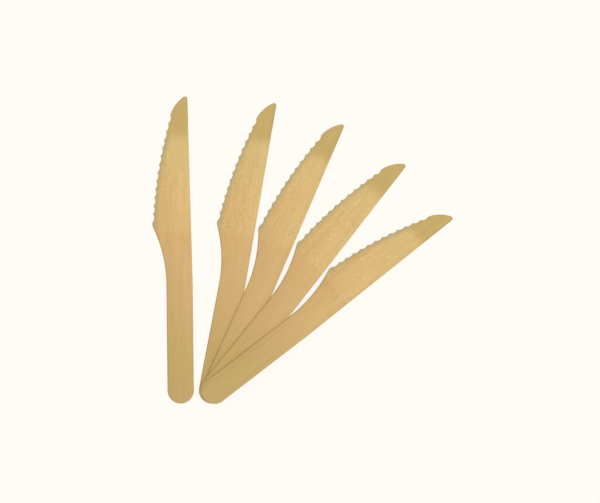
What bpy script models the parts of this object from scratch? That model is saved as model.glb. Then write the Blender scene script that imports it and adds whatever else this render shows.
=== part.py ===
"""A pack of wooden knives: four fanned from their handle ends, and one lying beside them.

Units are metres and +Z is up. The knives lie on z = 0, and the origin is the middle of the ground
that they cover. Each knife is one flat piece of birch veneer with a scalloped edge. It is drawn
first in its own frame, with the centre of its round handle end at the origin, +Y towards its tip,
its straight spine on +X and its scallops on -X. Then it is laid down, and it leans on the knives
that lie there already and on the ground, as a loose flat piece does.
"""

import math

import bmesh
import bpy
from mathutils import Matrix, Vector
from mathutils.geometry import intersect_line_line_2d, intersect_point_tri_2d

# The blank, as it is stamped from the veneer
KNIFE_LENGTH = 0.165
VENEER_THICKNESS = 0.0016
HANDLE_WIDTH = 0.0141
HANDLE_LENGTH = 0.064
NECK_RADIUS = 0.072
HEEL_RADIUS = 0.002
HEEL_LAND = 0.0016
SPINE_TAPER = 0.00185

# The blade's width at the heel and where its scallops end, from the line of the handle's spine side
BLADE_WIDTH = 0.0213
FRONT_WIDTH = 0.0111

# The scalloped edge, whose points lie on a slight outward curve, and the plain curved front
EDGE_RADIUS = 0.235
SCALLOP_PITCH = 0.00442
SCALLOP_DEPTH = 0.00084
FRONT_LENGTH = 0.0102
FRONT_RADIUS = 0.018
TIP_RADIUS = 0.0012

# The bevel ground on the upper face, along the scallops, round a corner and right across the tip
BEVEL_WIDTH = 0.0026
BEVEL_CORNER_RADIUS = 0.005
BEVEL_TIP_LENGTH = 0.021
GROUND_THICKNESS = 0.0009
RIM_EASE = 0.00015

# How the knives lie: heading in degrees clockwise from +Y, and how far each handle end has slipped
FAN_HEADINGS = (10.96, 24.43, 39.12, 52.58)
FAN_SLIPS = ((0.0, 0.0), (0.00151, 0.00062), (0.00108, 0.00129), (0.0015, 0.00019))
LONE_HEADING = -0.46
LONE_GAP = 0.0027
RESTING_GAP = 0.0003

# Facets on the round stretches
BUTT_FACETS = 20
NECK_FACETS = 10
HEEL_FACETS = 3
SCALLOP_FACETS = 5
FRONT_FACETS = 7
TIP_FACETS = 5
BEVEL_EDGE_FACETS = 5
BEVEL_CORNER_FACETS = 3

BIRCH_COLOUR = (0.63, 0.44, 0.19)
BIRCH_ROUGHNESS = 0.72
LONE_SHADE = 1.0
FAN_SHADES = (0.97, 0.99, 1.02, 1.01)

HANDLE_SIDE = HANDLE_WIDTH / 2
TIP_Y = KNIFE_LENGTH - HANDLE_SIDE
NECK_Y = HANDLE_LENGTH - HANDLE_SIDE
HEEL_X = HANDLE_SIDE - BLADE_WIDTH
SHARP_ANGLE = math.radians(30)
MERGE_DISTANCE = 1e-5
SETTLED = 1e-6


def clear_scene():
    for old in list(bpy.data.objects):
        bpy.data.objects.remove(old, do_unlink=True)


def spoke(angle):
    return Vector((math.cos(angle), math.sin(angle)))


def arc(centre, radius, start, end, facets):
    """Points on a circle from the angle start to the angle end, with both ends."""
    angles = [start + (end - start) * step / facets for step in range(facets + 1)]
    return [centre + radius * spoke(angle) for angle in angles]


def spine_x(y):
    """The spine runs straight up the handle, then leans in evenly from the neck to the tip."""
    return HANDLE_SIDE - SPINE_TAPER * max(0.0, (y - NECK_Y) / (TIP_Y - NECK_Y))


def front_end():
    """Where the plain front ends and the scallops begin."""
    return Vector((HANDLE_SIDE - FRONT_WIDTH, TIP_Y - FRONT_LENGTH))


def front_curve():
    """The tip's small round and the plain front below it, which run smoothly into each other."""
    end = front_end()
    tip_centre = Vector((spine_x(TIP_Y) - TIP_RADIUS, TIP_Y - TIP_RADIUS))
    reach = tip_centre - end
    along = (FRONT_RADIUS**2 - (FRONT_RADIUS - TIP_RADIUS) ** 2 + reach.length_squared) / (2 * reach.length)
    aside = math.sqrt(FRONT_RADIUS**2 - along**2)
    right = Vector((reach.y, -reach.x)).normalized()
    centre = end + reach.normalized() * along + right * aside
    join = math.atan2(tip_centre.y - centre.y, tip_centre.x - centre.x)
    stop = math.atan2(end.y - centre.y, end.x - centre.x)
    tip = arc(tip_centre, TIP_RADIUS, 0.0, join, TIP_FACETS)
    return tip + arc(centre, FRONT_RADIUS, join, stop, FRONT_FACETS)[1:]


def heel_centre():
    """Centre of the heel's round, which runs smoothly into the hollow curve of the neck."""
    both = NECK_RADIUS + HEEL_RADIUS
    swell = BLADE_WIDTH - HANDLE_WIDTH
    return Vector((HEEL_X + HEEL_RADIUS, NECK_Y + math.sqrt(both**2 - (both - swell) ** 2)))


def edge_circle():
    """The circle through the points between scallops: its centre, and its angles at front and heel."""
    top = front_end()
    bottom = Vector((HEEL_X, heel_centre().y + HEEL_LAND))
    chord = top - bottom
    towards_spine = Vector((chord.y, -chord.x)).normalized()
    centre = (top + bottom) / 2 + towards_spine * math.sqrt(EDGE_RADIUS**2 - chord.length_squared / 4)
    start = math.atan2(top.y - centre.y, top.x - centre.x) % math.tau
    stop = math.atan2(bottom.y - centre.y, bottom.x - centre.x) % math.tau
    return centre, start, stop


def scalloped_edge():
    """The edge from the front to the heel, cut in from its circle once for each scallop."""
    centre, start, stop = edge_circle()
    count = round(EDGE_RADIUS * (stop - start) / SCALLOP_PITCH)
    facets = count * SCALLOP_FACETS
    edge = []
    for step in range(facets + 1):
        across = 2 * (step % SCALLOP_FACETS) / SCALLOP_FACETS - 1
        cut = SCALLOP_DEPTH * (1 - across**2)
        edge.append(centre + (EDGE_RADIUS - cut) * spoke(start + (stop - start) * step / facets))
    return edge


def knife_outline():
    """The whole outline, anticlockwise from where the spine meets the tip."""
    heel = heel_centre()
    neck = Vector((-HANDLE_SIDE - NECK_RADIUS, NECK_Y))
    turn = math.atan2(heel.y - neck.y, heel.x - neck.x)
    heel_round = arc(heel, HEEL_RADIUS, math.pi, math.pi + turn, HEEL_FACETS)[:-1]
    neck_curve = arc(neck, NECK_RADIUS, turn, 0.0, NECK_FACETS)
    handle_end = arc(Vector((0.0, 0.0)), HANDLE_SIDE, math.pi, math.tau, BUTT_FACETS)
    spine_bend = [Vector((HANDLE_SIDE, NECK_Y))]
    return front_curve() + scalloped_edge()[1:] + heel_round + neck_curve + handle_end + spine_bend


def eased(outline):
    """The same outline, moved in by the small flat that takes the sharpness off every rim."""
    inside = []
    for before, point, after in zip(outline[-1:] + outline[:-1], outline, outline[1:] + outline[:1]):
        arrive = (point - before).normalized()
        leave = (after - point).normalized()
        inwards = Vector((-arrive.y - leave.y, arrive.x + leave.x)).normalized()
        inside.append(point + inwards * RIM_EASE / inwards.dot(Vector((-leave.y, leave.x))))
    return inside


def grind(body, start, outwards, width):
    """Take a flat facet off the upper face. It falls away outwards from start, over the given width."""
    slope = (VENEER_THICKNESS - GROUND_THICKNESS) / width
    body.normal_update()
    bmesh.ops.bisect_plane(
        body,
        geom=[*body.verts, *body.edges, *body.faces],
        plane_co=(*start, VENEER_THICKNESS),
        plane_no=(*(outwards * slope), 1.0),
        clear_outer=True,
    )
    bmesh.ops.holes_fill(body, edges=[edge for edge in body.edges if edge.is_boundary])


def grind_bevel(body):
    """Grind along the scallops, then turn to grind across the tip."""
    centre, start, stop = edge_circle()
    inside = EDGE_RADIUS - BEVEL_WIDTH
    for step in range(BEVEL_EDGE_FACETS):
        outwards = spoke(stop + (start - stop) * (step + 0.5) / BEVEL_EDGE_FACETS)
        grind(body, centre + inside * outwards, outwards, BEVEL_WIDTH)
    corner = Vector((0.0, TIP_Y - BEVEL_TIP_LENGTH - BEVEL_CORNER_RADIUS))
    corner.x = centre.x - math.sqrt((inside - BEVEL_CORNER_RADIUS) ** 2 - (corner.y - centre.y) ** 2)
    turn = math.atan2(corner.y - centre.y, corner.x - centre.x)
    for step in range(BEVEL_CORNER_FACETS):
        share = (step + 1) / BEVEL_CORNER_FACETS
        outwards = spoke(turn + (math.pi / 2 - turn) * share)
        width = BEVEL_WIDTH + (BEVEL_TIP_LENGTH - BEVEL_WIDTH) * share
        grind(body, corner + BEVEL_CORNER_RADIUS * outwards, outwards, width)


def knife_mesh():
    """One knife as a closed body, with its lower face on z = 0."""
    outline = knife_outline()
    inside = eased(outline)
    layers = (
        (inside, 0.0),
        (outline, RIM_EASE),
        (outline, VENEER_THICKNESS - RIM_EASE),
        (inside, VENEER_THICKNESS),
    )
    body = bmesh.new()
    rings = [[body.verts.new((*point, height)) for point in points] for points, height in layers]
    body.faces.new(reversed(rings[0]))
    body.faces.new(rings[-1])
    for lower, upper in zip(rings, rings[1:]):
        for index in range(len(outline)):
            body.faces.new((lower[index - 1], lower[index], upper[index], upper[index - 1]))
    grind_bevel(body)
    bmesh.ops.dissolve_degenerate(body, dist=MERGE_DISTANCE, edges=body.edges)
    bmesh.ops.triangulate(body, faces=body.faces)
    mesh = bpy.data.meshes.new("knife")
    body.to_mesh(mesh)
    body.free()
    mesh.shade_smooth()
    mesh.set_sharp_from_angle(angle=SHARP_ANGLE)
    return mesh


class Plane:
    """The plane through three points, with its normal upwards."""

    def __init__(self, feet):
        normal = (feet[1] - feet[0]).cross(feet[2] - feet[0]).normalized()
        self.normal = normal if normal.z > 0 else -normal
        self.level = self.normal.dot(feet[0])

    def height(self, point):
        return (self.level - self.normal.x * point.x - self.normal.y * point.y) / self.normal.z


def balance_point(outline):
    """Centre of the area inside an outline."""
    total = 0.0
    moment = Vector((0.0, 0.0))
    for before, after in zip(outline, outline[1:] + outline[:1]):
        slice_area = before.x * after.y - after.x * before.y
        total += slice_area
        moment += (before + after) * slice_area / 3
    return moment / total


def covers(outline, point):
    """Whether an outline goes round a point."""
    crossings = 0
    for before, after in zip(outline, outline[1:] + outline[:1]):
        if (before.y > point.y) != (after.y > point.y):
            along = (point.y - before.y) / (after.y - before.y)
            crossings += before.x + along * (after.x - before.x) > point.x
    return crossings % 2 == 1


def shared_corners(first, second):
    """Corners of the area that two outlines share, seen from above."""
    corners = [point for point in first if covers(second, point)]
    corners += [point for point in second if covers(first, point)]
    for before, after in zip(first, first[1:] + first[:1]):
        for start, stop in zip(second, second[1:] + second[:1]):
            met = intersect_line_line_2d(before, after, start, stop)
            if met:
                corners.append(met)
    return corners


def resting_plane(balance, props):
    """The lowest plane over the props: it stands on three of them, and they surround the balance point.

    It starts far below on three feet far away, and moves one foot at a time to the prop that stands
    out highest above it, so that the three feet always surround the balance point.
    """
    far = 10 * KNIFE_LENGTH
    feet = [Vector((*(balance + far * spoke(math.tau * third / 3)), -far)) for third in range(3)]
    for _ in props:
        plane = Plane(feet)
        highest = max(props, key=lambda prop: prop.z - plane.height(prop))
        if highest.z - plane.height(highest) < SETTLED:
            break
        swaps = [feet[:spare] + [highest] + feet[spare + 1:] for spare in range(3)]
        feet = next(swap for swap in swaps if intersect_point_tri_2d(balance, *swap))
    return plane


def knife_pose(heading, handle_end, plane):
    """Where a knife lies: its own frame set on a plane."""
    along = Vector((math.sin(heading), math.cos(heading), 0.0))
    along.z = -plane.normal.dot(along) / plane.normal.z
    along.normalize()
    pose = Matrix((along.cross(plane.normal), along, plane.normal)).transposed().to_4x4()
    pose.translation = (handle_end.x, handle_end.y, plane.height(handle_end))
    return pose


def lay_knives(places):
    """Lay the knives down in order, and give the pose of each."""
    outline = knife_outline()
    poses = []
    laid = []
    for heading, handle_end in places:
        turn = Matrix.Rotation(-heading, 2)
        plan = [handle_end + turn @ point for point in outline]
        props = [point.to_3d() for point in plan]
        for below, top in laid:
            props += [Vector((*corner, top.height(corner))) for corner in shared_corners(plan, below)]
        plane = resting_plane(handle_end + turn @ balance_point(outline), props)
        poses.append(knife_pose(heading, handle_end, plane))
        plane.level += VENEER_THICKNESS + RESTING_GAP
        laid.append((plan, plane))
    return poses


def birch(name, shade):
    material = bpy.data.materials.new(name)
    material.use_nodes = True
    shader = material.node_tree.nodes["Principled BSDF"]
    shader.inputs["Base Color"].default_value = (*[part * shade for part in BIRCH_COLOUR], 1.0)
    shader.inputs["Roughness"].default_value = BIRCH_ROUGHNESS
    shader.inputs["Metallic"].default_value = 0.0
    return material


def main():
    clear_scene()
    names = ["lone_knife"] + [f"fan_knife_{number}" for number in range(1, len(FAN_HEADINGS) + 1)]
    headings = [math.radians(heading) for heading in (LONE_HEADING, *FAN_HEADINGS)]
    handle_ends = [Vector((-HANDLE_WIDTH - LONE_GAP, 0.0))] + [Vector(slip) for slip in FAN_SLIPS]
    poses = lay_knives(list(zip(headings, handle_ends)))
    blank = knife_mesh()
    reach = [pose @ vertex.co for pose in poses for vertex in blank.vertices]
    middle = [(max(values) + min(values)) / 2 for values in zip(*[(point.x, point.y) for point in reach])]
    pack = bpy.data.objects.new("pack", None)
    pack.location = (-middle[0], -middle[1], 0.0)
    bpy.context.collection.objects.link(pack)
    for name, pose, shade in zip(names, poses, (LONE_SHADE, *FAN_SHADES)):
        knife = bpy.data.objects.new(name, blank.copy())
        knife.data.materials.append(birch(f"birch_{name}", shade))
        knife.parent = pack
        knife.location = pose.to_translation()
        knife.rotation_euler = pose.to_euler()
        bpy.context.collection.objects.link(knife)


main()
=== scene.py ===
"""The looks of a pack of wooden knives: one blank of birch veneer, cut, ground and laid five times."""

import math

import bmesh
import bpy
from mathutils import Matrix, Vector


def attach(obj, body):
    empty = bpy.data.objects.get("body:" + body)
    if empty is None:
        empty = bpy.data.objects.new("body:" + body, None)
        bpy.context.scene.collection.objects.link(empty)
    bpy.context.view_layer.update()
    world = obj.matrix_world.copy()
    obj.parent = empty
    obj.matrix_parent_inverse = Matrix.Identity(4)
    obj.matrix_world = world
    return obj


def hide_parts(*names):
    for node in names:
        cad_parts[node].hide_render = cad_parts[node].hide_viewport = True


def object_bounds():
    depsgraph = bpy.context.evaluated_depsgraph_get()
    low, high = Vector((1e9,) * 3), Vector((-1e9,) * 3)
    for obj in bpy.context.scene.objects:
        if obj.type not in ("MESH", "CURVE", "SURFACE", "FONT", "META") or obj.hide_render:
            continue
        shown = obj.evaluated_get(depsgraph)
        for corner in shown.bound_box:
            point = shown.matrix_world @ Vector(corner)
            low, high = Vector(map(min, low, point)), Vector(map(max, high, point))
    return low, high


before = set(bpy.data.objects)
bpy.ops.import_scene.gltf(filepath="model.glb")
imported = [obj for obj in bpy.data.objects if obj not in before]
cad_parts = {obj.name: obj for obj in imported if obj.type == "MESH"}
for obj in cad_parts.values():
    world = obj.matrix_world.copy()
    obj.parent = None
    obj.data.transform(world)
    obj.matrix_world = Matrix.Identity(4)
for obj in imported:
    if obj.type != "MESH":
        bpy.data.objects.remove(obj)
cad_low, cad_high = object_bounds()

# The blank, in its own frame: its round handle end centred on the origin, its tip towards +Y
KNIFE_LENGTH = 0.165
VENEER_THICKNESS = 0.0016
HANDLE_WIDTH = 0.0141
HANDLE_LENGTH = 0.064
NECK_RADIUS = 0.072
HEEL_RADIUS = 0.002
HEEL_LAND = 0.0016
SPINE_TAPER = 0.00185
BLADE_WIDTH = 0.0213
FRONT_WIDTH = 0.0111
EDGE_RADIUS = 0.235
SCALLOP_PITCH = 0.00442
SCALLOP_DEPTH = 0.00084
FRONT_LENGTH = 0.0102
FRONT_RADIUS = 0.018
TIP_RADIUS = 0.0012

# The bevel ground on its upper face, the rims that the stamping eased, and the band round the rim where
# shade is painted
BEVEL_WIDTH = 0.0026
BEVEL_CORNER_RADIUS = 0.005
BEVEL_TIP_LENGTH = 0.021
GROUND_THICKNESS = 0.0009
RIM_EASE = 0.00015
RIM_BAND = 0.0006

HANDLE_SIDE = HANDLE_WIDTH / 2
TIP_Y = KNIFE_LENGTH - HANDLE_SIDE
NECK_Y = HANDLE_LENGTH - HANDLE_SIDE
HEEL_X = HANDLE_SIDE - BLADE_WIDTH
NEAR = 0.00001

# Facets on the round stretches, and passes of the grinding
END_STEPS = 48
NECK_STEPS = 30
HEEL_STEPS = 6
SCALLOP_STEPS = 10
FRONT_STEPS = 16
TIP_STEPS = 10
RIM_STEPS = 3
EDGE_PASSES = 5
CORNER_PASSES = 3

# How squarely a face looks up or down: 1 is level, and 0 is upright
LEVEL = 0.99
GROUND = 0.95
SIDE = 0.6
SMOOTH_ANGLE = math.radians(40)

# Screen colours, from the handle's end to the blade: how far along the blank, and the colour there. Their
# darkening towards the handle's end is painted shade
LENGTH_TONES = (
    (-0.006, (192, 165, 106)),
    (0.015, (194, 167, 102)),
    (0.03, (199, 168, 106)),
    (0.045, (205, 171, 111)),
    (0.065, (210, 175, 115)),
    (0.083, (213, 176, 116)),
    (0.0865, (217, 182, 121)),
    (0.105, (220, 185, 122)),
    (0.13, (216, 186, 122)),
)
GROUND_TONE = (188, 167, 117)
TIP_TONE = (194, 166, 100)
SIDE_DARK = (186, 152, 98)
SIDE_PALE = (216, 184, 126)
FLOOR_TONE = (255, 253, 247)

# Shares of red, green and blue light that are left: painted shade on the rim and towards the left side, and
# the grain's darker and paler places
RIM_SHADE = (0.76, 0.74, 0.66, 1.0)
LEFT_SHADE = (0.93, 0.88, 0.84, 1.0)
GRAIN_DARK = (0.78, 0.76, 0.7, 1.0)
GRAIN_PALE = (1.22, 1.24, 1.3, 1.0)
NO_SHADE = (1.0, 1.0, 1.0, 1.0)

# Where each tone comes in or goes out: X across the blank, Y along it, Z up, reach inwards from its edge
BAND_REACH = (0.0006, 0.0042)
BAND_START_Y = (0.076, 0.09)
TIP_START_Y = (TIP_Y - BEVEL_TIP_LENGTH - 0.0045, TIP_Y - BEVEL_TIP_LENGTH + 0.004)
UPPER_HALF_Z = (VENEER_THICKNESS * 0.4, VENEER_THICKNESS * 0.45)
LEFT_SHADE_X = (-0.014, 0.006)
LEFT_SHADE_STOP_Y = (0.1, 0.128)
RIM_SHADE_X = (-0.003, 0.003)
RIM_SHADE_START_Y = (-0.006, 0.008)
RIM_SHADE_TIP_Y = (0.14, 0.15)
FLECKS_START_Y = (0.07, 0.09)
FLECKS_STOP_Y = (0.124, 0.14)

# How much of the left side's shade is lost towards the tip, and of the rim's on the bevel
LEFT_SHADE_LOSS = 0.7
RIM_SHADE_LOSS = 0.5

# The size of each mark in the wood: across, along and through the veneer
SWAY_SIZE = (0.03, 0.045, 0.03)
BAND_SIZE = (0.0032, 0.07, 0.02)
FIBRE_SIZE = (0.00035, 0.011, 0.0012)
PORE_SIZE = (0.0006, 0.0042, 0.0008)
PATCH_SIZE = (0.006, 0.009, 0.01)
PALE_SIZE = (0.001, 0.0018, 0.01)
DARK_SIZE = (0.0009, 0.0024, 0.01)
MOTTLE_SIZE = (0.0028, 0.004, 0.01)
LAYER_SIZE = (0.004, 0.006, 0.00022)
CRUSH_SIZE = (0.0006, 0.0006, 0.002)
SWAY_WIDTH = 0.006

# The levels between which a mark comes or goes: of noise, and for pores of distance from their middles
PORE_LEVELS = (0.1, 0.24)
PATCH_LEVELS = (0.32, 0.56)
FLECK_LEVELS = (0.56, 0.7)
LAYER_LEVELS = (0.3, 0.7)

# How much each kind of grain changes the colour
BAND_CONTRAST = 0.45
FIBRE_CONTRAST = 0.9
PORE_CONTRAST = 0.32
PALE_CONTRAST = 0.26
DARK_CONTRAST = 0.24
MOTTLE_CONTRAST = 0.28
LAYER_SHARE = 0.7
CRUSH_SHARE = 0.3

# The finish that the hand feels: its roughness, and how deep the pores lie against the fibres
FACE_ROUGHNESS = 0.58
FIBRE_ROUGHNESS = 0.18
GROUND_BURNISH = 0.08
SIDE_ROUGHNESS = 0.62
CRUSH_ROUGHNESS = 0.2
PORE_DEPTH = 0.5

# Each knife comes from its own sheet of veneer: where in the grain, and how strongly it is flecked
SHEETS = {
    "lone_knife": (1.0, 0.9),
    "fan_knife_1": (2.3, 1.0),
    "fan_knife_2": (3.9, 1.1),
    "fan_knife_3": (5.2, 1.1),
    "fan_knife_4": (6.8, 1.0),
}

# The dark flecks are read this far from the knife's own sheet, and the stamped sides from two others
DARK_FLECK_SHIFT = 7.0
LAYER_SHEET = 3.0
CRUSH_SHEET = 5.0

# Each knife's material slots
FACE_SLOT = 0
SIDE_SLOT = 1

# The photograph's view, straight down, and its light
VIEW_WIDTH = 0.322
VIEW_LENS = 300.0
VIEW_MIDDLE = (-0.001426, -0.000766)
LAMP_PLACE = (0.08, -0.03, 2.9)
LAMP_SIZE = 0.5
LAMP_POWER = 53.4
SURROUND_LIGHT = 0.35
FLOOR_SIZE = 6.0
FLOOR_GLOW = 0.7


def spoke(angle):
    return Vector((math.cos(angle), math.sin(angle), 0.0))


def pick(piece, wanted):
    """In edit mode, select just the points whose place passes the test."""
    shape = bmesh.from_edit_mesh(piece.data)
    bpy.ops.mesh.select_mode(type="VERT")
    bpy.ops.mesh.select_all(action="DESELECT")
    for point in shape.verts:
        point.select = wanted(point.co)
    shape.select_flush(True)
    bmesh.update_edit_mesh(piece.data)


def neck_turn():
    """The angle that the neck's hollow and the heel's round share."""
    return math.acos(1.0 - (BLADE_WIDTH - HANDLE_WIDTH) / (NECK_RADIUS + HEEL_RADIUS))


def heel_y():
    """How far along the knife the heel's round ends."""
    return NECK_Y + (NECK_RADIUS + HEEL_RADIUS) * math.sin(neck_turn())


def heel_corner():
    """Where the short straight land past the heel meets the first scallop."""
    return Vector((HEEL_X, heel_y() + HEEL_LAND, 0.0))


def front_corner():
    """Where the last scallop meets the plain front."""
    return Vector((HANDLE_SIDE - FRONT_WIDTH, TIP_Y - FRONT_LENGTH, 0.0))


def edge_circle():
    """The circle through the points between scallops: its centre, and its angles at heel and front."""
    heel, front = heel_corner(), front_corner()
    chord = front - heel
    towards_spine = Vector((chord.y, -chord.x, 0.0)).normalized()
    centre = (front + heel) / 2 + towards_spine * math.sqrt(EDGE_RADIUS**2 - chord.length_squared / 4)
    ends = [math.atan2(end.y - centre.y, end.x - centre.x) % math.tau for end in (heel, front)]
    return centre, *ends


def cut_line(blank, place):
    """Carry the cut straight on from the one point that is selected, where it has got to."""
    shape = bmesh.from_edit_mesh(blank.data)
    so_far = next(point.co.copy() for point in shape.verts if point.select)
    bpy.ops.mesh.extrude_region_move(TRANSFORM_OT_translate={"value": place - so_far})


def cut_round(centre, turn, steps):
    """Carry the cut on round a centre. A positive turn is anticlockwise."""
    bpy.ops.mesh.spin(steps=steps, angle=-turn, center=centre, axis=(0.0, 0.0, 1.0))


def cut_neck_and_heel(blank):
    """Up the handle's left side, through the neck's hollow, over the heel's round and along its land."""
    cut_line(blank, Vector((-HANDLE_SIDE, NECK_Y, 0.0)))
    cut_round((-HANDLE_SIDE - NECK_RADIUS, NECK_Y, 0.0), neck_turn(), NECK_STEPS)
    cut_round((HEEL_X + HEEL_RADIUS, heel_y(), 0.0), -neck_turn(), HEEL_STEPS)
    cut_line(blank, heel_corner())


def cut_scallops():
    """One hollow after another, each a round cut between two points of the edge's circle."""
    centre, start, stop = edge_circle()
    count = round(EDGE_RADIUS * (start - stop) / SCALLOP_PITCH)
    step = (start - stop) / count
    half = EDGE_RADIUS * math.sin(step / 2)
    radius = (half**2 + SCALLOP_DEPTH**2) / (2 * SCALLOP_DEPTH)
    reach = EDGE_RADIUS * math.cos(step / 2) + radius - SCALLOP_DEPTH
    turn = 2 * math.asin(half / radius)
    for number in range(count):
        cut_round(centre + reach * spoke(start - (number + 0.5) * step), turn, SCALLOP_STEPS)


def cut_front():
    """The plain curved front, and the tip's small round that it runs smoothly into."""
    front = front_corner()
    tip = Vector((HANDLE_SIDE - SPINE_TAPER - TIP_RADIUS, TIP_Y - TIP_RADIUS, 0.0))
    reach = tip - front
    along = (FRONT_RADIUS**2 - (FRONT_RADIUS - TIP_RADIUS) ** 2 + reach.length_squared) / (2 * reach.length)
    aside = math.sqrt(FRONT_RADIUS**2 - along**2)
    right = Vector((reach.y, -reach.x, 0.0)).normalized()
    centre = front + reach.normalized() * along + right * aside
    first = math.atan2(front.y - centre.y, front.x - centre.x)
    join = math.atan2(tip.y - centre.y, tip.x - centre.x)
    cut_round(centre, join - first, FRONT_STEPS)
    cut_round(tip, -join, TIP_STEPS)


def cut_spine(blank):
    """Down the tapering spine and the handle's right side, back to the round end."""
    cut_line(blank, Vector((HANDLE_SIDE, NECK_Y, 0.0)))
    cut_line(blank, Vector((HANDLE_SIDE, 0.0, 0.0)))


def cut_outline():
    """The outline as one ring: the lower half of a circle, carried on from its left end to its right."""
    bpy.ops.object.select_all(action="DESELECT")
    bpy.ops.mesh.primitive_circle_add(vertices=2 * END_STEPS, radius=HANDLE_SIDE, fill_type="NOTHING")
    blank = bpy.context.object
    bpy.ops.object.mode_set(mode="EDIT")
    pick(blank, lambda place: place.y > NEAR)
    bpy.ops.mesh.delete(type="VERT")
    pick(blank, lambda place: place.x < NEAR - HANDLE_SIDE)
    cut_neck_and_heel(blank)
    cut_scallops()
    cut_front()
    cut_spine(blank)
    return blank


def thicken(blank):
    """Close the outline, give it the veneer's thickness, and ease both of its rims."""
    bpy.ops.mesh.select_all(action="SELECT")
    bpy.ops.mesh.remove_doubles(threshold=NEAR)
    bpy.ops.mesh.edge_face_add()
    bpy.ops.mesh.extrude_region_move(TRANSFORM_OT_translate={"value": (0.0, 0.0, VENEER_THICKNESS)})
    bpy.ops.mesh.select_all(action="SELECT")
    bpy.ops.mesh.normals_make_consistent(inside=False)
    bpy.ops.mesh.select_mode(type="EDGE")
    bpy.ops.mesh.select_all(action="DESELECT")
    shape = bmesh.from_edit_mesh(blank.data)
    for edge in shape.edges:
        edge.select = abs(edge.verts[0].co.z - edge.verts[1].co.z) < NEAR
    bmesh.update_edit_mesh(blank.data)
    bpy.ops.mesh.bevel(offset=RIM_EASE, segments=RIM_STEPS, affect="EDGES", clamp_overlap=True)


def grind(start, outwards, width):
    """Take a flat facet off the upper face. It falls away outwards from start, over the given width."""
    slope = (VENEER_THICKNESS - GROUND_THICKNESS) / width
    bpy.ops.mesh.select_all(action="SELECT")
    bpy.ops.mesh.bisect(
        plane_co=(start.x, start.y, VENEER_THICKNESS),
        plane_no=(outwards.x * slope, outwards.y * slope, 1.0),
        use_fill=True,
        clear_outer=True,
        threshold=NEAR / 100,
    )


def grind_bevel():
    """Grind along the scallops, then turn a corner to grind right across the tip."""
    centre, start, stop = edge_circle()
    inside = EDGE_RADIUS - BEVEL_WIDTH
    for number in range(EDGE_PASSES):
        outwards = spoke(start + (stop - start) * (number + 0.5) / EDGE_PASSES)
        grind(centre + inside * outwards, outwards, BEVEL_WIDTH)
    corner = Vector((0.0, TIP_Y - BEVEL_TIP_LENGTH - BEVEL_CORNER_RADIUS, 0.0))
    corner.x = centre.x - math.sqrt((inside - BEVEL_CORNER_RADIUS) ** 2 - (corner.y - centre.y) ** 2)
    turn = math.atan2(corner.y - centre.y, corner.x - centre.x)
    for number in range(CORNER_PASSES):
        share = (number + 1) / CORNER_PASSES
        outwards = spoke(turn + (math.pi / 2 - turn) * share)
        width = BEVEL_WIDTH + (BEVEL_TIP_LENGTH - BEVEL_WIDTH) * share
        grind(corner + BEVEL_CORNER_RADIUS * outwards, outwards, width)


def is_broad(face):
    """True for the flat top and the ground facets, and not for the narrow strips of the eased rim."""
    heights = [point.co.z for point in face.verts]
    level = face.normal.z > LEVEL
    ground = face.normal.z > GROUND and max(heights) - min(heights) > RIM_EASE
    return level or ground


def mark_rim(blank):
    """Run a narrow band round the upper face, and mark its outer side and the stamped sides for the rim's
    painted shade.
    """
    bpy.ops.mesh.select_mode(type="FACE")
    bpy.ops.mesh.select_all(action="DESELECT")
    shape = bmesh.from_edit_mesh(blank.data)
    for face in shape.faces:
        face.select = is_broad(face)
    bmesh.update_edit_mesh(blank.data)
    bpy.ops.mesh.inset(thickness=RIM_BAND, use_boundary=True, use_even_offset=True)
    shape = bmesh.from_edit_mesh(blank.data)
    crush_and_shade = shape.verts.layers.float.new("painted_rim_shade")
    for point in shape.verts:
        inner = point.select or point.co.z < NEAR
        point[crush_and_shade] = 0.0 if inner else 1.0
    bmesh.update_edit_mesh(blank.data)


def stamp_blank():
    """One knife, flat on the ground in its own frame."""
    blank = cut_outline()
    thicken(blank)
    grind_bevel()
    mark_rim(blank)
    bpy.ops.object.mode_set(mode="OBJECT")
    return blank


def finish_blank(blank):
    """Soften the shading, give the stamped sides their own material slot, and keep each point's place."""
    bpy.ops.object.shade_smooth_by_angle(angle=SMOOTH_ANGLE)
    bpy.ops.object.modifier_add(type="WEIGHTED_NORMAL")
    blank.modifiers["WeightedNormal"].keep_sharp = True
    bpy.ops.object.modifier_apply(modifier="WeightedNormal")
    mesh = blank.data
    for face in mesh.polygons:
        face.material_index = SIDE_SLOT if abs(face.normal.z) < SIDE else FACE_SLOT
    place = mesh.attributes.new("blank_place", "FLOAT_VECTOR", "POINT")
    for point in mesh.vertices:
        place.data[point.index].vector = point.co


def lie_of(mesh):
    """How a knife lies: the middle, the upward direction and the length of its flat underside."""
    mesh.calc_loop_triangles()
    under = [piece for piece in mesh.loop_triangles if piece.normal.z < -LEVEL]
    area = sum(piece.area for piece in under)
    middle = sum((piece.center * piece.area for piece in under), Vector()) / area
    up = -sum((piece.normal * piece.area for piece in under), Vector()).normalized()
    corners = [mesh.vertices[index].co for piece in under for index in piece.vertices]
    tip = max(corners, key=lambda corner: (corner - middle).length)
    along = tip - middle
    along -= up * along.dot(up)
    along.normalize()
    lie = Matrix((along.cross(up), along, up)).transposed().to_4x4()
    lie.translation = middle
    return lie


def lay_knife(blank, node_name, faces, sides):
    """Lay a copy of the blank where the solid lies, with a finish for its faces and one for its sides."""
    bpy.ops.object.select_all(action="DESELECT")
    knife = blank.copy()
    knife.data = blank.data.copy()
    knife.name = f"{node_name}_veneer"
    bpy.context.collection.objects.link(knife)
    knife.data.materials.append(faces)
    knife.data.materials.append(sides)
    knife.matrix_world = lie_of(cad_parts[node_name].data) @ lie_of(blank.data).inverted()
    knife.select_set(True)
    bpy.context.view_layer.objects.active = knife
    bpy.ops.object.transform_apply(location=True, rotation=True, scale=True)
    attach(knife, "root")
    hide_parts(node_name)


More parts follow.
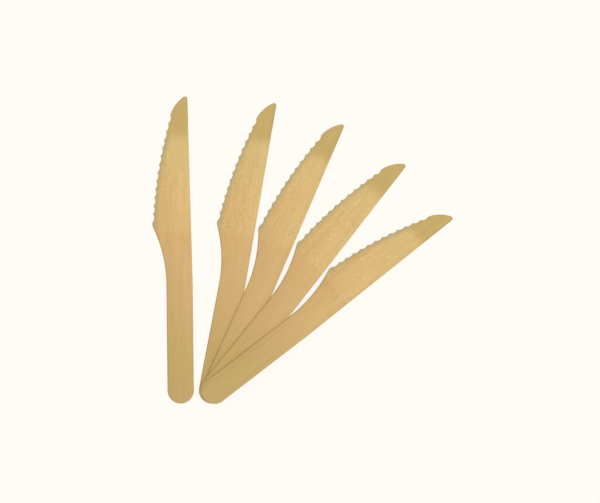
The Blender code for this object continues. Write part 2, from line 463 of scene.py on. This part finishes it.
def tone(colour):
    """A colour as a screen shows it, turned into the amounts of light that a shader takes."""
    parts = [part / 255 for part in colour]
    return (*[part / 12.92 if part < 0.04045 else ((part + 0.055) / 1.055) ** 2.4 for part in parts], 1.0)


def put(tree, kind, sockets, **settings):
    """Add a node, set it up, and give each of its named or numbered sockets a value or a link."""
    node = tree.nodes.new(kind)
    for name, value in settings.items():
        setattr(node, name, value)
    for name, value in sockets.items():
        if isinstance(value, bpy.types.NodeSocket):
            tree.links.new(value, node.inputs[name])
        else:
            node.inputs[name].default_value = value
    return node


def reckon(tree, operation, first, second=0.0, third=0.0, clamp=False):
    """One step of arithmetic, done at every place on the surface."""
    sockets = {0: first, 1: second, 2: third}
    return put(tree, "ShaderNodeMath", sockets, operation=operation, use_clamp=clamp).outputs[0]


def times(tree, first, second):
    return reckon(tree, "MULTIPLY", first, second)


def rest_of(tree, share):
    """What the share leaves of 1."""
    return reckon(tree, "SUBTRACT", 1.0, share)


def fade(tree, value, ends):
    """0 before the first end, 1 past the second, and a smooth change between them."""
    sockets = {"Value": value, "From Min": ends[0], "From Max": ends[1]}
    return put(tree, "ShaderNodeMapRange", sockets, interpolation_type="SMOOTHSTEP").outputs["Result"]


def blend_tones(tree, share, first, second, blend_type="MIX"):
    """Two colours in one. The node takes colours at its sockets 6 and 7, and gives one at 2."""
    sockets = {"Factor": share, 6: first, 7: second}
    return put(tree, "ShaderNodeMix", sockets, data_type="RGBA", blend_type=blend_type).outputs[2]


def split(tree, place):
    """The place's X, Y and Z."""
    return put(tree, "ShaderNodeSeparateXYZ", {0: place}).outputs


def stretch(tree, place, size):
    """The place, counted in marks of the given size."""
    sockets = {0: place, 1: [1.0 / part for part in size]}
    return put(tree, "ShaderNodeVectorMath", sockets, operation="MULTIPLY").outputs[0]


def clouds(tree, place, size, sheet, detail=2.0, roughness=0.5):
    """Soft noise in marks of the given size."""
    counted = stretch(tree, place, size)
    sockets = {"Vector": counted, "W": sheet, "Scale": 1.0, "Detail": detail, "Roughness": roughness}
    return put(tree, "ShaderNodeTexNoise", sockets, noise_dimensions="4D").outputs["Fac"]


def spots(tree, place, size, sheet):
    """How far it is to the middle of the nearest of many scattered spots of the given size."""
    counted = stretch(tree, place, size)
    sockets = {"Vector": counted, "W": sheet, "Scale": 1.0, "Randomness": 1.0}
    return put(tree, "ShaderNodeTexVoronoi", sockets, voronoi_dimensions="4D").outputs["Distance"]


def start_group(name, takes, gives):
    """A node group with the named inputs and outputs, and the sockets at both of its ends."""
    group = bpy.data.node_groups.new(name, "ShaderNodeTree")
    for socket, kind in takes.items():
        group.interface.new_socket(socket, in_out="INPUT", socket_type=f"NodeSocket{kind}")
    for socket, kind in gives.items():
        group.interface.new_socket(socket, in_out="OUTPUT", socket_type=f"NodeSocket{kind}")
    return group, group.nodes.new("NodeGroupInput").outputs, group.nodes.new("NodeGroupOutput").inputs


def make_grain():
    """Fibres, faint growth bands and the small pores of birch, all running along the knife."""
    group, takes, gives = start_group(
        "birch_grain",
        {"Place": "Vector", "Sheet": "Float"},
        {"Bands": "Float", "Fibres": "Float", "Pores": "Float"},
    )
    place, sheet = takes["Place"], takes["Sheet"]
    sway = clouds(group, place, SWAY_SIZE, sheet)
    aside = reckon(group, "MULTIPLY_ADD", sway, SWAY_WIDTH, -SWAY_WIDTH / 2)
    shift = put(group, "ShaderNodeCombineXYZ", {"X": aside}).outputs[0]
    wavy = put(group, "ShaderNodeVectorMath", {0: place, 1: shift}, operation="ADD").outputs[0]
    bands = clouds(group, wavy, BAND_SIZE, sheet, detail=3.0, roughness=0.6)
    fibres = clouds(group, wavy, FIBRE_SIZE, sheet, detail=4.0, roughness=0.65)
    pores = rest_of(group, fade(group, spots(group, wavy, PORE_SIZE, sheet), PORE_LEVELS))
    group.links.new(bands, gives["Bands"])
    group.links.new(fibres, gives["Fibres"])
    group.links.new(pores, gives["Pores"])
    return group


def make_flecks():
    """Pale and dark flecks, a millimetre or two long, which the blade shows most."""
    group, takes, gives = start_group(
        "blade_flecks",
        {"Place": "Vector", "Sheet": "Float"},
        {"Pale": "Float", "Dark": "Float", "Mottle": "Float"},
    )
    place, sheet = takes["Place"], takes["Sheet"]
    length = split(group, place)["Y"]
    past_neck = fade(group, length, FLECKS_START_Y)
    before_tip = rest_of(group, fade(group, length, FLECKS_STOP_Y))
    patches = clouds(group, place, PATCH_SIZE, sheet, detail=1.0)
    where = times(group, times(group, past_neck, before_tip), fade(group, patches, PATCH_LEVELS))
    other_sheet = reckon(group, "ADD", sheet, DARK_FLECK_SHIFT)
    pale = clouds(group, place, PALE_SIZE, sheet, detail=1.0)
    dark = clouds(group, place, DARK_SIZE, other_sheet, detail=1.0)
    mottle = clouds(group, place, MOTTLE_SIZE, other_sheet)
    centred = reckon(group, "SUBTRACT", mottle, 0.5)
    group.links.new(times(group, where, fade(group, pale, FLECK_LEVELS)), gives["Pale"])
    group.links.new(times(group, where, fade(group, dark, FLECK_LEVELS)), gives["Dark"])
    group.links.new(times(group, where, centred), gives["Mottle"])
    return group


def make_bevel_marks():
    """How deep the surface was ground, how near it is to the scallops, and how far into the tip."""
    group, takes, gives = start_group(
        "bevel_marks",
        {"Place": "Vector"},
        {"Depth": "Float", "Band": "Float", "Tip": "Float"},
    )
    place = takes["Place"]
    axes = split(group, place)
    drop = reckon(group, "SUBTRACT", VENEER_THICKNESS, axes["Z"])
    depth = reckon(group, "DIVIDE", drop, VENEER_THICKNESS - GROUND_THICKNESS, clamp=True)
    group.links.new(times(group, fade(group, axes["Z"], UPPER_HALF_Z), depth), gives["Depth"])

    centre = edge_circle()[0]
    flat = put(group, "ShaderNodeVectorMath", {0: place, 1: (1.0, 1.0, 0.0)}, operation="MULTIPLY")
    reach = put(group, "ShaderNodeVectorMath", {0: flat.outputs[0], 1: centre}, operation="DISTANCE")
    inwards = reckon(group, "SUBTRACT", EDGE_RADIUS, reach.outputs["Value"])
    near = rest_of(group, fade(group, inwards, BAND_REACH))
    group.links.new(times(group, near, fade(group, axes["Y"], BAND_START_Y)), gives["Band"])
    group.links.new(fade(group, axes["Y"], TIP_START_Y), gives["Tip"])
    return group


def make_length_tones():
    """The veneer's own colour from the handle's end to the blade, darkened towards the handle's end by
    painted shade.
    """
    group, takes, gives = start_group("length_tones", {"Place": "Vector"}, {"Tone": "Color"})
    from_end = reckon(group, "ADD", split(group, takes["Place"])["Y"], HANDLE_SIDE)
    ramp = put(group, "ShaderNodeValToRGB", {"Fac": reckon(group, "DIVIDE", from_end, KNIFE_LENGTH)})
    stops = ramp.color_ramp.elements
    stops.remove(stops[-1])
    for number, (place, colour) in enumerate(LENGTH_TONES):
        share = (place + HANDLE_SIDE) / KNIFE_LENGTH
        stop = stops[0] if number == 0 else stops.new(share)
        stop.position = share
        stop.color = tone(colour)
    group.links.new(ramp.outputs["Color"], gives["Tone"])
    return group


def start_finish(name):
    """A new material: it, its nodes, its shader, and the place on the blank that its patterns read."""
    finish = bpy.data.materials.new(name)
    finish.use_nodes = True
    tree = finish.node_tree
    place = put(tree, "ShaderNodeAttribute", {}, attribute_name="blank_place").outputs["Vector"]
    return finish, tree, tree.nodes["Principled BSDF"], place


def bare_colour(tree, place, axes, marks):
    """The wood without its grain: painted shade towards its left and towards the handle's end, and another
    tone where it was ground.
    """
    base = put(tree, "ShaderNodeGroup", {"Place": place}, node_tree=LENGTH_GROUP).outputs["Tone"]
    loss = times(tree, fade(tree, axes["Y"], LEFT_SHADE_STOP_Y), LEFT_SHADE_LOSS)
    clear = reckon(tree, "MAXIMUM", fade(tree, axes["X"], LEFT_SHADE_X), loss)
    shade = blend_tones(tree, clear, LEFT_SHADE, NO_SHADE)
    colour = blend_tones(tree, 1.0, base, shade, "MULTIPLY")
    colour = blend_tones(tree, marks["Band"], colour, tone(GROUND_TONE))
    return blend_tones(tree, marks["Tip"], colour, tone(TIP_TONE))


def grain_shade(tree, grain, flecks, fleck_strength):
    """What the grain and the flecks take from the colour or add to it."""
    pale = 0.5 - (BAND_CONTRAST + FIBRE_CONTRAST) / 2
    pale = reckon(tree, "MULTIPLY_ADD", grain["Bands"], BAND_CONTRAST, pale)
    pale = reckon(tree, "MULTIPLY_ADD", grain["Fibres"], FIBRE_CONTRAST, pale)
    pale = reckon(tree, "MULTIPLY_ADD", grain["Pores"], -PORE_CONTRAST, pale)
    pale = reckon(tree, "MULTIPLY_ADD", flecks["Pale"], PALE_CONTRAST * fleck_strength, pale)
    pale = reckon(tree, "MULTIPLY_ADD", flecks["Dark"], -DARK_CONTRAST * fleck_strength, pale)
    pale = reckon(tree, "MULTIPLY_ADD", flecks["Mottle"], MOTTLE_CONTRAST, pale)
    return blend_tones(tree, pale, GRAIN_DARK, GRAIN_PALE)


def rim_darkness(tree, axes, band):
    """Where the rim's painted shade shows: on the knife's left side and all round its tip, less on the
    bevel.
    """
    left = rest_of(tree, fade(tree, axes["X"], RIM_SHADE_X))
    left = times(tree, left, fade(tree, axes["Y"], RIM_SHADE_START_Y))
    shown = reckon(tree, "MAXIMUM", left, fade(tree, axes["Y"], RIM_SHADE_TIP_Y))
    crush_and_shade = put(tree, "ShaderNodeAttribute", {}, attribute_name="painted_rim_shade").outputs["Fac"]
    crush_and_shade = times(tree, crush_and_shade, shown)
    return times(tree, crush_and_shade, reckon(tree, "MULTIPLY_ADD", band, -RIM_SHADE_LOSS, 1.0))


def veneer_finish(name, sheet, fleck_strength):
    """The broad faces of one knife: bare sanded birch from its own sheet, with painted shade on its rim,
    towards its left side and towards the handle's end.
    """
    finish, tree, shader, place = start_finish(name)
    axes = split(tree, place)
    grain = put(tree, "ShaderNodeGroup", {"Place": place, "Sheet": sheet}, node_tree=GRAIN_GROUP).outputs
    flecks = put(tree, "ShaderNodeGroup", {"Place": place, "Sheet": sheet}, node_tree=FLECK_GROUP).outputs
    marks = put(tree, "ShaderNodeGroup", {"Place": place}, node_tree=BEVEL_GROUP).outputs

    colour = bare_colour(tree, place, axes, marks)
    colour = blend_tones(tree, 1.0, colour, grain_shade(tree, grain, flecks, fleck_strength), "MULTIPLY")
    # Painted shade along the left rim and round the tip
    colour = blend_tones(tree, rim_darkness(tree, axes, marks["Band"]), colour, RIM_SHADE, "MULTIPLY")
    tree.links.new(colour, shader.inputs["Base Color"])

    rough = reckon(tree, "MULTIPLY_ADD", grain["Fibres"], FIBRE_ROUGHNESS, FACE_ROUGHNESS)
    rough = reckon(tree, "MULTIPLY_ADD", marks["Depth"], -GROUND_BURNISH, rough)
    tree.links.new(rough, shader.inputs["Roughness"])
    height = reckon(tree, "MULTIPLY_ADD", grain["Pores"], -PORE_DEPTH, grain["Fibres"])
    relief = put(tree, "ShaderNodeBump", {"Height": height, "Strength": 0.35, "Distance": 0.00006})
    tree.links.new(relief.outputs["Normal"], shader.inputs["Normal"])
    shader.inputs["Specular IOR Level"].default_value = 0.3
    return finish


def side_finish():
    """The stamped sides: crushed and slightly browned, with the layers of the veneer showing."""
    finish, tree, shader, place = start_finish("birch_stamped_side")
    layers = clouds(tree, place, LAYER_SIZE, LAYER_SHEET, detail=3.0, roughness=0.6)
    crush_and_shade = clouds(tree, place, CRUSH_SIZE, CRUSH_SHEET, detail=3.0, roughness=0.6)
    share = reckon(tree, "MULTIPLY_ADD", layers, LAYER_SHARE, times(tree, crush_and_shade, CRUSH_SHARE))
    colour = blend_tones(tree, fade(tree, share, LAYER_LEVELS), tone(SIDE_DARK), tone(SIDE_PALE))
    tree.links.new(colour, shader.inputs["Base Color"])
    rough = reckon(tree, "MULTIPLY_ADD", crush_and_shade, CRUSH_ROUGHNESS, SIDE_ROUGHNESS)
    tree.links.new(rough, shader.inputs["Roughness"])
    relief = put(tree, "ShaderNodeBump", {"Height": share, "Strength": 0.5, "Distance": 0.00008})
    tree.links.new(relief.outputs["Normal"], shader.inputs["Normal"])
    shader.inputs["Specular IOR Level"].default_value = 0.25
    return finish


def seen_directly(tree):
    """1 where the camera sees the surface, straight or in a reflection, and 0 where it only gives light."""
    rays = put(tree, "ShaderNodeLightPath", {}).outputs
    mirrored = reckon(tree, "MAXIMUM", rays["Is Glossy Ray"], rays["Is Transmission Ray"])
    return reckon(tree, "MAXIMUM", rays["Is Camera Ray"], mirrored)


def lay_floor():
    """A plain white table top, which keeps a faint shadow of the knives."""
    bpy.ops.object.select_all(action="DESELECT")
    bpy.ops.mesh.primitive_plane_add(size=FLOOR_SIZE, location=(0.0, 0.0, 0.0))
    floor = bpy.context.object
    floor.name = "floor"
    finish = bpy.data.materials.new("white_table_top")
    finish.use_nodes = True
    tree = finish.node_tree
    shader = tree.nodes["Principled BSDF"]
    shader.inputs["Base Color"].default_value = tone(FLOOR_TONE)
    shader.inputs["Roughness"].default_value = 0.9
    shader.inputs["Specular IOR Level"].default_value = 0.0
    glow = put(tree, "ShaderNodeEmission", {"Color": tone(FLOOR_TONE), "Strength": 1.0}).outputs[0]
    share = times(tree, seen_directly(tree), FLOOR_GLOW)
    both = put(tree, "ShaderNodeMixShader", {0: share, 1: shader.outputs[0], 2: glow}).outputs[0]
    tree.links.new(both, tree.nodes["Material Output"].inputs["Surface"])
    floor.data.materials.append(finish)


def set_camera():
    """Straight down through a long lens, with the photograph's frame at the middle of the pack's height."""
    data = bpy.data.cameras.new("view_from_above")
    data.lens = VIEW_LENS
    data.clip_start = 0.01
    data.clip_end = 10.0
    camera = bpy.data.objects.new("view_from_above", data)
    rise = VIEW_WIDTH * VIEW_LENS / data.sensor_width
    camera.location = (*VIEW_MIDDLE, (cad_low.z + cad_high.z) / 2 + rise)
    bpy.context.collection.objects.link(camera)
    bpy.context.scene.camera = camera


def hang_lamp():
    """A soft round lamp, nearly straight overhead and turned to the middle of the pack."""
    data = bpy.data.lights.new("window_lamp", "AREA")
    data.shape = "DISK"
    data.size = LAMP_SIZE
    data.energy = LAMP_POWER
    lamp = bpy.data.objects.new("window_lamp", data)
    lamp.location = Vector(LAMP_PLACE)
    lamp.rotation_euler = Vector(LAMP_PLACE).to_track_quat("Z", "Y").to_euler()
    bpy.context.collection.objects.link(lamp)


def set_surround():
    """An even surround: plain white to the eye, and dimmer as a light."""
    world = bpy.data.worlds.new("white_surround")
    world.use_nodes = True
    tree = world.node_tree
    surround = tree.nodes["Background"]
    surround.inputs["Color"].default_value = tone(FLOOR_TONE)
    strength = reckon(tree, "MULTIPLY_ADD", seen_directly(tree), 1.0 - SURROUND_LIGHT, SURROUND_LIGHT)
    tree.links.new(strength, surround.inputs["Strength"])
    bpy.context.scene.world = world


GRAIN_GROUP = make_grain()
FLECK_GROUP = make_flecks()
BEVEL_GROUP = make_bevel_marks()
LENGTH_GROUP = make_length_tones()

blank = stamp_blank()
finish_blank(blank)
sides = side_finish()
for node_name, (sheet, fleck_strength) in SHEETS.items():
    lay_knife(blank, node_name, veneer_finish(f"birch_{node_name}", sheet, fleck_strength), sides)
bpy.data.objects.remove(blank, do_unlink=True)

lay_floor()
set_camera()
hang_lamp()
set_surround()
bpy.context.scene.view_settings.view_transform = "Standard"
